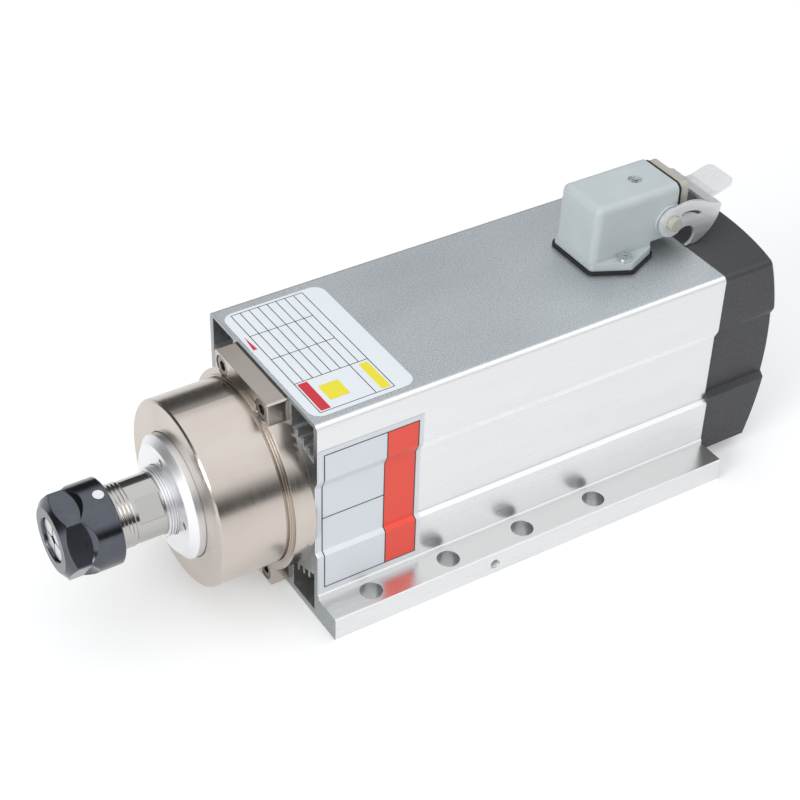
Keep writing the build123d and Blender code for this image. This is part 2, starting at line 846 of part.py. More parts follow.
# Radial cooling fan with backward-curved blades on a front disc
fan_radius = post_reach - cover_column_radius - fan_tip_gap
blade_root = fan_hub_radius - fan_blade_thickness
blade_tip = fan_radius - fan_blade_thickness / 2
blade_middle = (blade_root + blade_tip) / 2
lean = radians(fan_blade_sweep)
with BuildSketch() as fan_blade:
    with BuildLine():
        ThreePointArc(
            (blade_root, 0),
            (blade_middle * cos(lean / 4), blade_middle * sin(lean / 4)),
            (blade_tip * cos(lean), blade_tip * sin(lean)),
        )
    trace(line_width=fan_blade_thickness)
with BuildPart() as cooling_fan:
    ring_of(fan_front, fan_disc_thickness, fan_radius)
    ring_of(fan_front, fan_width, fan_hub_radius)
    with BuildSketch(station(fan_front)):
        with PolarLocations(0, fan_blades):
            add(fan_blade.sketch)
    extrude(amount=fan_width)
    ring_of(fan_front, fan_width, fan_seat_radius + fit_gap, mode=Mode.SUBTRACT)
keep(cooling_fan.part, "cooling_fan")

# Washer and nut that hold the fan
with BuildPart() as fan_washer:
    ring_of(fan_rear, washer_thickness, fan_nut_across_flats / 2 + washer_margin, fan_thread_radius + fit_gap)
keep(fan_washer.part, "fan_washer")

with BuildPart() as fan_nut:
    with BuildSketch(station(fan_rear + washer_thickness)):
        RegularPolygon(fan_nut_across_flats / 2, 6, major_radius=False)
        Circle(fan_thread_radius + fit_gap, mode=Mode.SUBTRACT)
    extrude(amount=fan_nut_thickness)
keep(fan_nut.part, "fan_nut")

# Double-crowned plastic rear cover with a slotted air inlet
cover_tip = rear_face + cover_reach
crown_centre = cover_tip - cover_crown_radius


def cover_block(inset, tip_radius):
    """Solid of the cover's outside, or of its inside when inset by the wall."""
    side = half_width - inset
    with BuildPart() as block:
        with BuildSketch(Plane.YZ.offset(rear_face)) as outline:
            with BuildLine():
                Polyline(
                    (0, cover_bottom + inset),
                    (side, cover_bottom + inset),
                    (side, cover_recess_low - cover_recess_step),
                    (side - cover_recess_depth, cover_recess_low),
                    (side - cover_recess_depth, cover_recess_high),
                    (side, cover_recess_high + cover_recess_slope),
                    (side, body_height - inset),
                    (0, body_height - inset),
                    close=True,
                )
            make_face()
            corner = outline.vertices().group_by(Axis.Y)[-1].sort_by(Axis.X)[-1]
            fillet(corner, body_edge_radius)
            mirror(about=Plane.YZ)
        extrude(amount=cover_reach)
        heel = block.edges().group_by(Axis.Z)[0].sort_by(Axis.X)[-1]
        fillet(heel, cover_heel_radius)
        with Locations((crown_centre, 0, axis_height)):
            Sphere(tip_radius, mode=Mode.INTERSECT)
    return block.part


cover_inside = cover_block(cover_wall, cover_crown_radius - cover_wall)
post_rear = plate_rear + cover_post_length
with BuildPart() as rear_cover:
    add(cover_block(0, cover_crown_radius))
    crown_face = rear_cover.faces().sort_by(Axis.X)[-1]
    chamfer(crown_face.edges(), cover_edge_bevel)
    add(cover_inside, mode=Mode.SUBTRACT)
    column_top = crown_centre + sqrt(cover_crown_radius**2 - post_reach**2) - cover_head_depth
    with BuildSketch(station(post_rear)):
        with Locations(*post_places):
            Circle(cover_column_radius)
    extrude(amount=column_top - post_rear)
    with BuildSketch(station(column_top - cover_head_seat)):
        with Locations(*post_places):
            Circle(cover_screw_head_radius + head_gap)
    extrude(amount=cover_reach, mode=Mode.SUBTRACT)
    with BuildSketch(station(post_rear)):
        with Locations(*post_places):
            Circle(cover_screw_radius + clearance)
    extrude(amount=cover_reach, mode=Mode.SUBTRACT)
    grille_radius = post_reach - cover_column_radius - grille_rim - grille_slot_width / 2
    grille_ring_pitch = (grille_radius - grille_first_radius) / (grille_rings - 1)
    with BuildSketch(station(cover_tip - grille_depth)):
        for ring in reversed(range(grille_rings)):
            middle = grille_first_radius + ring * grille_ring_pitch
            Circle(middle + grille_slot_width / 2)
            Circle(middle - grille_slot_width / 2, mode=Mode.SUBTRACT)
        with PolarLocations(0, grille_spokes):
            Rectangle(grille_spoke_width, 2 * cover_reach, mode=Mode.SUBTRACT)
    extrude(amount=grille_depth, mode=Mode.SUBTRACT)
keep(rear_cover.part, "rear_cover")

with BuildPart() as cover_screws:
    head_seat = column_top - cover_head_seat
    with BuildSketch(station(head_seat)):
        with Locations(*post_places):
            Circle(cover_screw_head_radius)
    extrude(amount=cover_screw_head_height)
    with BuildSketch(station(plate_rear + screw_point_gap)):
        with Locations(*post_places):
            Circle(cover_screw_radius)
    extrude(amount=head_seat - plate_rear - screw_point_gap)
    with BuildSketch(station(head_seat + cover_screw_head_height)):
        with Locations(*post_places):
            Rectangle(cover_screw_head_radius, cross_slot_width)
            Rectangle(cross_slot_width, cover_screw_head_radius)
    extrude(amount=-cover_screw_head_height / 2, mode=Mode.SUBTRACT)
keep(cover_screws.part, "cover_screws")

# Connector housing on the top of the body, its mouth towards the fan
plug_base = body_height + gasket_thickness
plug_mouth = plug_x + plug_reach
plug_middle = plug_base + (plug_height + plug_underside) / 2
plug_half_height = (plug_height - plug_underside) / 2
plug_outline = [
    (plug_x, plug_plate_half_width),
    (plug_x + plug_lobe_setback, plug_lobe_half_width),
    (plug_x + plug_plate_length, plug_tail_half_width),
    (plug_x + plug_plate_length, -plug_tail_half_width),
    (plug_x + plug_lobe_setback, -plug_lobe_half_width),
    (plug_x, -plug_plate_half_width),
]


def plug_plate(plane, margin=0.0):
    """Six-sided plate outline of the connector base, with rounded corners."""
    with BuildSketch(plane) as plate:
        with BuildLine():
            Polyline(*plug_outline, close=True)
        make_face()
        fillet(plate.vertices(), plug_plate_round)
        if margin > 0:
            offset(amount=margin)
    return plate.sketch


with BuildPart() as connector_gasket:
    extrude(plug_plate(Plane.XY.offset(body_height), gasket_margin), amount=gasket_thickness)
    with BuildSketch(Plane.XY.offset(body_height)):
        with Locations((port_middle, 0)):
            Circle(cable_port_radius)
        with Locations(*plug_screw_places):
            Circle(plug_screw_radius + clearance)
    extrude(amount=gasket_thickness, mode=Mode.SUBTRACT)
keep(connector_gasket.part, "connector_gasket")


def mouth_section(x, inset, corner):
    """Rounded rectangle across the connector's mouth."""
    with BuildSketch(Plane(origin=(x, 0, plug_middle), x_dir=(0, 1, 0), z_dir=(1, 0, 0))) as section:
        RectangleRounded(2 * (plug_half_width - inset), 2 * (plug_half_height - inset), corner)
    return section.sketch


pivot = (plug_x + pivot_setback, plug_base + pivot_height)
boss_face = plug_half_width + plug_boss_height
with BuildPart() as connector_housing:
    with BuildSketch(Plane.XZ.offset(-plug_half_width)):
        with BuildLine():
            Polyline(
                (plug_x, plug_base),
                (plug_x + plug_front_draft, plug_base + plug_height),
                (plug_mouth, plug_base + plug_height),
                (plug_mouth, plug_base + plug_underside),
                (plug_x + plug_plate_length, plug_base + plug_underside),
                (plug_x + plug_plate_length, plug_base),
                close=True,
            )
        make_face()
    extrude(amount=2 * plug_half_width)
    crest = connector_housing.faces().sort_by(Axis.Z)[-1]
    front_wall = connector_housing.faces().sort_by(Axis.X)[0]
    fillet(
        connector_housing.edges().filter_by(Axis.X).group_by(Axis.Z)[-1]
        + front_wall.edges().filter_by(Axis.Y, reverse=True)
        + crest.edges().filter_by(Axis.Y).sort_by(Axis.X)[:1],
        plug_corner_radius,
    )
    extrude(plug_plate(Plane.XY.offset(plug_base)), amount=plug_plate_thickness)
    for side in (-1, 1):
        with BuildSketch(Plane.XZ.offset(-side * plug_half_width)):
            with Locations(pivot):
                Circle(plug_boss_radius)
            with Locations((plug_mouth + plug_boss_radius, pivot[1])):
                Rectangle(2 * plug_boss_radius, 2 * plug_boss_radius, mode=Mode.SUBTRACT)
        extrude(amount=-side * plug_boss_height)
    pocket_depth = plug_reach - plug_wall - plug_front_draft
    pocket = mouth_section(plug_mouth, plug_wall, insert_corner_radius)
    extrude(pocket, amount=-pocket_depth, mode=Mode.SUBTRACT)
    with BuildSketch(Plane.XY.offset(plug_base)):
        with Locations((port_middle, 0)):
            Circle(cable_port_radius + plug_port_margin)
    extrude(amount=plug_middle - plug_base, mode=Mode.SUBTRACT)
    with BuildSketch(Plane.XY.offset(plug_base)):
        with Locations(*plug_screw_places):
            Circle(plug_screw_radius + clearance)
    extrude(amount=plug_plate_thickness, mode=Mode.SUBTRACT)
    with BuildSketch(Plane.XY.offset(plug_base + plug_plate_thickness)):
        with Locations(*plug_screw_places):
            Circle(plug_screw_head_radius + head_gap)
    extrude(amount=2 * plug_screw_head_height, mode=Mode.SUBTRACT)
    with BuildSketch(Plane.XZ.offset(-boss_face)):
        with Locations(pivot):
            Circle(pivot_radius + fit_gap)
    extrude(amount=2 * boss_face, mode=Mode.SUBTRACT)
    with BuildSketch(Plane.XY.offset(plug_base + plug_height)):
        with Locations((plug_x + insert_screw_setback, 0)):
            Circle(insert_screw_head_radius + head_gap)
    extrude(amount=-plug_wall, mode=Mode.SUBTRACT)
keep(connector_housing.part, "connector_housing")

with BuildPart() as connector_screws:
    with BuildSketch(Plane.XY.offset(plug_base + plug_plate_thickness)):
        with Locations(*plug_screw_places):
            Circle(plug_screw_head_radius)
    extrude(amount=plug_screw_head_height)
    with BuildSketch(Plane.XY.offset(body_height - plug_screw_length)):
        with Locations(*plug_screw_places):
            Circle(plug_screw_radius)
    extrude(amount=plug_screw_length + gasket_thickness + plug_plate_thickness)
    with BuildSketch(Plane.XY.offset(plug_base + plug_plate_thickness + plug_screw_head_height)):
        with Locations(*plug_screw_places):
            Rectangle(plug_screw_head_radius, cross_slot_width)
            Rectangle(cross_slot_width, plug_screw_head_radius)
    extrude(amount=-plug_screw_head_height / 2, mode=Mode.SUBTRACT)
keep(connector_screws.part, "connector_screws")

# Seal and contact insert in the connector's mouth
insert_rear = plug_mouth + seal_thickness + insert_reach
with BuildPart() as connector_seal:
    extrude(mouth_section(plug_mouth, seal_inset, plug_corner_radius), amount=seal_thickness)
    extrude(pocket, amount=seal_thickness, mode=Mode.SUBTRACT)
keep(connector_seal.part, "connector_seal")

contact_places = [(y * contact_spacing / 2, z * contact_spacing / 2) for y in (-1, 1) for z in (-1, 1)]
with BuildPart() as connector_insert:
    insert_root = plug_mouth - insert_body_depth
    insert_body = mouth_section(insert_root, plug_wall + fit_gap, insert_corner_radius)
    extrude(insert_body, amount=insert_body_depth + seal_thickness)
    collar = mouth_section(plug_mouth + seal_thickness, insert_inset, insert_corner_radius)
    extrude(collar, amount=insert_reach)
    with BuildSketch(Plane(origin=(insert_rear, 0, plug_middle), x_dir=(0, 1, 0), z_dir=(1, 0, 0))):
        RectangleRounded(insert_socket_width, insert_socket_height, insert_socket_round)
    extrude(amount=-insert_socket_depth, mode=Mode.SUBTRACT)
    with BuildSketch(Plane(origin=(insert_rear, 0, plug_middle), x_dir=(0, 1, 0), z_dir=(1, 0, 0))):
        with Locations(*contact_places):
            Circle(contact_radius + fit_gap)
    extrude(amount=-2 * insert_body_depth, mode=Mode.SUBTRACT)
    with BuildSketch(Plane.XY.offset(plug_base + plug_height - plug_wall)):
        with Locations((plug_x + insert_screw_setback, 0)):
            Circle(insert_screw_radius + fit_gap)
    extrude(amount=-insert_screw_grip, mode=Mode.SUBTRACT)
keep(connector_insert.part, "connector_insert")

contact_tip = insert_rear - contact_recess
with BuildPart() as connector_contacts:
    with BuildSketch(Plane(origin=(contact_tip, 0, plug_middle), x_dir=(0, 1, 0), z_dir=(1, 0, 0))):
        with Locations(*contact_places):
            Circle(contact_radius)
    extrude(amount=-contact_length)
    chamfer(connector_contacts.faces().group_by(Axis.X)[-1].edges(), contact_radius / 3)
keep(connector_contacts.part, "connector_contacts")

insert_screw_top = plug_base + plug_height - insert_screw_recess
with BuildPart() as insert_screw:
    with BuildSketch(Plane.XY.offset(insert_screw_top)):
        with Locations((plug_x + insert_screw_setback, 0)):
            Circle(insert_screw_head_radius)
    extrude(amount=-(plug_wall - insert_screw_recess - fit_gap))
    with BuildSketch(Plane.XY.offset(insert_screw_top)):
        with Locations((plug_x + insert_screw_setback, 0)):
            Circle(insert_screw_radius)
    extrude(amount=-(plug_wall - insert_screw_recess + insert_screw_grip - clearance))
    with BuildSketch(Plane.XY.offset(insert_screw_top)):
        with Locations((plug_x + insert_screw_setback, 0)):
            Rectangle(1.4 * insert_screw_head_radius, cross_slot_width)
            Rectangle(cross_slot_width, 1.4 * insert_screw_head_radius)
    extrude(amount=-insert_screw_recess, mode=Mode.SUBTRACT)
keep(insert_screw.part, "insert_screw")

# Leads from the end turns through the port to the contacts
contact_root = contact_tip - contact_length
lead_start = stator_end + end_turn_length
lead_low = axis_height + (end_turn_inner + end_turn_outer) / 2 - lead_step / 2
with BuildPart() as motor_leads:
    for y, z in contact_places:
        upper = z > 0
        rise_x = port_middle - lead_step / 2 if upper else port_middle + lead_step / 2
        start_z = lead_low + lead_step if upper else lead_low
        with BuildLine() as route:
            FilletPolyline(
                (lead_start, y, start_z),
                (rise_x, y, start_z),
                (rise_x, y, plug_middle + z),
                (contact_root, y, plug_middle + z),
                radius=lead_bend,
            )
        with BuildSketch(Plane(origin=(lead_start, y, start_z), x_dir=(0, 1, 0), z_dir=(1, 0, 0))):
            Circle(lead_radius)
        sweep(path=route.line)
keep(motor_leads.part, "motor_leads")

# Pivot pins and the stamped steel locking lever
cheek_inside = boss_face + clearance
cheek_outside = cheek_inside + lever_thickness
with BuildPart() as lever_pivot_pins:
    for side in (-1, 1):
        with BuildSketch(Plane.XZ.offset(-side * (plug_half_width - plug_wall + clearance))):
            with Locations(pivot):
                Circle(pivot_radius)
        extrude(amount=-side * (cheek_outside + pivot_stand_out - plug_half_width + plug_wall - clearance))
    chamfer(lever_pivot_pins.faces().filter_by(Axis.Y).group_by(Axis.Y)[0].edges(), pivot_edge)
    chamfer(lever_pivot_pins.faces().filter_by(Axis.Y).group_by(Axis.Y)[-1].edges(), pivot_edge)
keep(lever_pivot_pins.part, "lever_pivot_pins")


def hook_point(angle, radius=lever_hook_radius):
    """Point on a circle about the middle of the hook's recess."""
    return (
        lever_hook_x + radius * cos(radians(angle)),
        lever_hook_z + radius * sin(radians(angle)),
    )


def lever_plane(y):
    """Plane of a lever cheek, with its origin on the pivot axis."""
    return Plane(origin=(pivot[0], y, pivot[1]), x_dir=(1, 0, 0), z_dir=(0, -1, 0))


hook_tip = hook_point(-75)
hook_root = hook_point(143)
boss_low = (lever_boss_radius * cos(radians(-67)), lever_boss_radius * sin(radians(-67)))
boss_top = (lever_boss_radius * cos(radians(79)), lever_boss_radius * sin(radians(79)))
bridge_front = (lever_bridge_front, lever_bridge_front_z)
bridge_rear = (lever_bridge_rear, lever_bridge_rear_z)
with BuildPart() as locking_lever:
    for side in (-1, 1):
        with BuildSketch(lever_plane(side * cheek_inside)):
            with BuildLine():
                ThreePointArc(boss_low, (-lever_boss_radius, 0), boss_top)
                ThreePointArc(boss_top, (lever_brow_x, lever_brow_z), bridge_front)
                Line(bridge_front, bridge_rear)
                ThreePointArc(bridge_rear, (lever_back_x, lever_back_z), (lever_foot_x, lever_foot_z))
                Line((lever_foot_x, lever_foot_z), hook_tip)
                ThreePointArc(hook_tip, hook_point(34), hook_root)
                Line(hook_root, boss_low)
            make_face()
            Circle(pivot_radius + running_gap, mode=Mode.SUBTRACT)
            with BuildLine(mode=Mode.PRIVATE):
                hook_middle = (lever_hook_x, lever_hook_z)
                slot_line = CenterArc(hook_middle, lever_slot_radius, lever_slot_from, lever_slot_span)
            SlotArc(slot_line, lever_slot_width, mode=Mode.SUBTRACT)
        extrude(amount=-side * lever_thickness)
    drop = (0.35 * lever_thickness, 0.94 * lever_thickness)
    with BuildSketch(lever_plane(-cheek_outside)):
        Polygon(
            bridge_front,
            bridge_rear,
            (bridge_rear[0] - drop[0], bridge_rear[1] - drop[1]),
            (bridge_front[0] - drop[0], bridge_front[1] - drop[1]),
            align=None,
        )
    extrude(amount=-2 * cheek_outside)
    with BuildSketch(lever_plane(-lever_tab_half_width)):
        Polygon(
            bridge_rear,
            (lever_tab_bend, bridge_rear[1]),
            (lever_tab_reach, lever_tab_height),
            (lever_tab_reach, lever_tab_height - lever_thickness),
            (lever_tab_bend, bridge_rear[1] - lever_thickness),
            (bridge_rear[0] - drop[0], bridge_rear[1] - drop[1]),
            align=None,
        )
    extrude(amount=-2 * lever_tab_half_width)
    tab_end = locking_lever.faces().sort_by(Axis.X)[-1]
    fillet(tab_end.edges().filter_by(Axis.Y, reverse=True), lever_tab_radius)
keep(locking_lever.part, "locking_lever")

# Collet with slots from both ends
nut_front = shaft_nose - nut_overhang
nut_rear = nut_front + nut_length
collet_rear = shaft_nose + collet_taper_length - collet_seat_gap
groove_front = shaft_nose - collet_groove_length
collet_face = groove_front - collet_rim_length
rear_cone_radius = collet_mouth_radius - (collet_rear - shaft_nose) * tan(radians(collet_angle))
with BuildPart() as collet:
    turn(
        (collet_face, 0),
        (collet_face, collet_face_radius),
        (groove_front, collet_mouth_radius - running_gap),
        (groove_front, collet_groove_radius),
        (shaft_nose, collet_groove_radius),
        (shaft_nose, collet_mouth_radius - running_gap),
        (collet_rear, rear_cone_radius - running_gap),
        (collet_rear, 0),
    )
    ring_of(collet_face, collet_rear - collet_face, collet_bore_radius, mode=Mode.SUBTRACT)
    for start, end, turned in (
        (collet_face, collet_rear - collet_web, 0),
        (collet_face + collet_web, collet_rear, 180 / collet_slots),
    ):
        with BuildSketch(station(start)):
            with PolarLocations(0, collet_slots // 2, start_angle=turned, angular_range=180):
                Rectangle(2 * shaft_nose_radius, collet_slot_width)
        extrude(amount=end - start, mode=Mode.SUBTRACT)
keep(collet.part, "collet")

# Hexagon collet nut with milled flats, cone and extractor lip
with BuildPart() as collet_nut:
    turn(
        (nut_front, nut_opening_radius + nut_mouth_edge),
        (nut_front, nut_face_radius),
        (nut_front + nut_cone_length, nut_radius),
        (nut_rear - nut_edge, nut_radius),
        (nut_rear, nut_radius - nut_edge),
        (nut_rear, shaft_nose_radius + running_gap),
        (shaft_nose - clearance, shaft_nose_radius + running_gap),
        (shaft_nose - clearance, collet_groove_radius + clearance),
        (groove_front + clearance, collet_groove_radius + clearance),
        (groove_front + clearance, collet_mouth_radius + clearance),
        (groove_front, collet_mouth_radius + clearance),
        (collet_face, collet_face_radius + clearance),
        (nut_front + nut_mouth_edge, nut_opening_radius),
    )
    for flat in range(6):
        angle = radians(60 * flat + 30 - nut_hex_angle)
        outward = (0, -cos(angle), sin(angle))
        flat_centre = (
            nut_front + nut_flat_length - nut_flat_arc_radius,
            outward[1] * nut_across_flats / 2,
            axis_height + outward[2] * nut_across_flats / 2,
        )
        with BuildSketch(Plane(origin=flat_centre, x_dir=(1, 0, 0), z_dir=outward)):
            Circle(nut_flat_arc_radius)
        extrude(amount=nut_radius / 4, taper=-nut_flat_runout, mode=Mode.SUBTRACT)
    angle = radians(balance_screw_angle)
    outward = (0, -cos(angle), sin(angle))
    balance_seat = nut_radius - balance_screw_depth
    balance_plane = Plane(
        origin=(
            nut_rear - balance_screw_setback,
            outward[1] * balance_seat,
            axis_height + outward[2] * balance_seat,
        ),
        x_dir=(1, 0, 0),
        z_dir=outward,
    )
    with BuildSketch(balance_plane):
        Circle(balance_screw_radius + fit_gap)
    extrude(amount=2 * balance_screw_depth, mode=Mode.SUBTRACT)
keep(collet_nut.part, "collet_nut")

with BuildPart() as balance_screw:
    with BuildSketch(balance_plane):
        Circle(balance_screw_radius)
    extrude(amount=balance_screw_depth - clearance)
keep(balance_screw.part, "balance_screw")
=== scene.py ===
import json
import math

import bmesh
import bpy
from mathutils import Matrix, Quaternion, Vector


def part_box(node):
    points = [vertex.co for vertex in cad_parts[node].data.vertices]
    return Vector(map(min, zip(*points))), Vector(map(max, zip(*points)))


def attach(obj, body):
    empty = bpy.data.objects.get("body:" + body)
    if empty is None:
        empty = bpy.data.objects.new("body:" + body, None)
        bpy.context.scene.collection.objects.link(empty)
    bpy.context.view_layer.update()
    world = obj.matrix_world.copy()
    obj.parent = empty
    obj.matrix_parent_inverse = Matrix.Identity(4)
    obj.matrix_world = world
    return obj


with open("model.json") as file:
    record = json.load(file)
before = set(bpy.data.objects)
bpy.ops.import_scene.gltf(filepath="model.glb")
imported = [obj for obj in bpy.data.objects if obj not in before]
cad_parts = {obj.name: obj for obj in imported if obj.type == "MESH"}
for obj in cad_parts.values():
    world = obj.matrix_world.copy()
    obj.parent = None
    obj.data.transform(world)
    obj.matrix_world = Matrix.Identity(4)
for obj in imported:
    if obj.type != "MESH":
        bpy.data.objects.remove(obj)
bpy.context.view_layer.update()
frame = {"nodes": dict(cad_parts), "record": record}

mm = 0.001
nodes = frame["nodes"]
mounts = {mount["name"]: mount for mount in frame["record"]["mounts"]}
axisHeight = mounts["collet_bore"]["pos_m"][2]  # height of the spindle axis over the base
bodyLow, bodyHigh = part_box("motor_body")
print("frame loaded:", len(nodes), "nodes")

# The camera stands where the photograph was taken

photoView = {
    "place": (-0.3196, -0.4725, 0.4988),  # metres, where the lens stood
    "aim": (-0.0186, 0.0241, 0.0401),  # metres, a point on the lens axis
    "roll": 0.656,  # degrees
    "focalLength": 82.25, "sensorWidth": 36,  # mm
    "shift": (0.0593, 0.0019),  # shares of the picture's width
    "clip": (0.01, 20),  # metres
}


def placeCamera():
    camera = bpy.data.objects.new("photoCamera", bpy.data.cameras.new("photoCamera"))
    bpy.context.scene.collection.objects.link(camera)
    bpy.context.scene.camera = camera
    camera.data.sensor_width = photoView["sensorWidth"]
    camera.data.lens = photoView["focalLength"]
    camera.data.shift_x, camera.data.shift_y = photoView["shift"]
    camera.data.clip_start, camera.data.clip_end = photoView["clip"]
    place, aim = Vector(photoView["place"]), Vector(photoView["aim"])
    camera.location = place
    camera.rotation_mode = "QUATERNION"
    turn = Quaternion((0, 0, 1), math.radians(photoView["roll"]))
    camera.rotation_quaternion = (aim - place).to_track_quat("-Z", "Y") @ turn


placeCamera()

# Colours and shader nodes

noiseSpan = {"From Min": 0.3, "From Max": 0.7}  # where most values of a noise lie


def hexColour(code):  # an sRGB hex value as the linear colour that Blender wants
    channels = [int(code[i:i + 2], 16) / 255 for i in (1, 3, 5)]
    return [c / 12.92 if c <= 0.04045 else ((c + 0.055) / 1.055) ** 2.4 for c in channels] + [1.0]


def addNode(tree, kind, settings=None, links=None):  # one node, its settings and what feeds it
    node = tree.nodes.new(kind)
    for name, value in (settings or {}).items():
        if isinstance(name, int) or name in node.inputs:
            node.inputs[name].default_value = value
        else:
            setattr(node, name, value)
    for name, source in (links or {}).items():
        tree.links.new(source, node.inputs[name])
    return node


def startMaterial(name, colour, metallic, roughness, settings=None):
    material = bpy.data.materials.new(name)
    material.use_nodes = True
    tree = material.node_tree
    shader = tree.nodes["Principled BSDF"]
    values = {"Base Color": hexColour(colour), "Metallic": metallic, "Roughness": roughness}
    for socket, value in {**values, **(settings or {})}.items():
        shader.inputs[socket].default_value = value
    place = addNode(tree, "ShaderNodeTexCoord")
    return material, tree, shader, place


def grain(tree, place, size, stretch=(1, 1, 1), detail=3):  # noise with a real size in mm
    scale = [1 / (size * mm * s) for s in stretch]
    spread = addNode(tree, "ShaderNodeMapping", {"Scale": scale}, {"Vector": place.outputs["Object"]})
    return addNode(
        tree, "ShaderNodeTexNoise", {"Scale": 1, "Detail": detail}, {"Vector": spread.outputs[0]}
    )


def toolMarks(tree, place, pitch):  # rings that a lathe leaves round the spindle axis, pitch in mm
    centred = addNode(
        tree, "ShaderNodeVectorMath", {"operation": "SUBTRACT", 1: (0, 0, axisHeight)},
        {0: place.outputs["Object"]},
    )
    parts = addNode(tree, "ShaderNodeSeparateXYZ", links={0: centred.outputs[0]})
    across = addNode(
        tree, "ShaderNodeCombineXYZ", links={"Y": parts.outputs["Y"], "Z": parts.outputs["Z"]}
    )
    radius = addNode(tree, "ShaderNodeVectorMath", {"operation": "LENGTH"}, {0: across.outputs[0]})
    turned = addNode(
        tree, "ShaderNodeCombineXYZ", links={"X": parts.outputs["X"], "Y": radius.outputs["Value"]}
    )
    return addNode(
        tree, "ShaderNodeTexNoise", {"Scale": 1 / (pitch * mm), "Detail": 2, "Roughness": 0.7},
        {"Vector": turned.outputs[0]},
    )


def tint(tree, pattern, low, high, span=noiseSpan):  # a colour between two, led by a pattern
    share = addNode(tree, "ShaderNodeMapRange", span, {"Value": pattern.outputs["Fac"]})
    mix = addNode(
        tree, "ShaderNodeMix",
        {"data_type": "RGBA", 6: hexColour(low), 7: hexColour(high)}, {0: share.outputs["Result"]},
    )
    return mix.outputs[2]


def varyColour(tree, shader, pattern, low, high):
    tree.links.new(tint(tree, pattern, low, high), shader.inputs["Base Color"])


def varyRoughness(tree, shader, pattern, low, high):
    spread = addNode(
        tree, "ShaderNodeMapRange", {**noiseSpan, "To Min": low, "To Max": high},
        {"Value": pattern.outputs["Fac"]},
    )
    tree.links.new(spread.outputs["Result"], shader.inputs["Roughness"])


def relief(tree, shader, height, depth, edge=0.3):  # bump in mm over softly broken edges
    rounded = addNode(tree, "ShaderNodeBevel", {"samples": 4, "Radius": edge * mm})
    bump = addNode(
        tree, "ShaderNodeBump", {"Strength": 1.0, "Distance": depth * mm},
        {"Height": height, "Normal": rounded.outputs[0]},
    )
    tree.links.new(bump.outputs[0], shader.inputs["Normal"])


# Materials


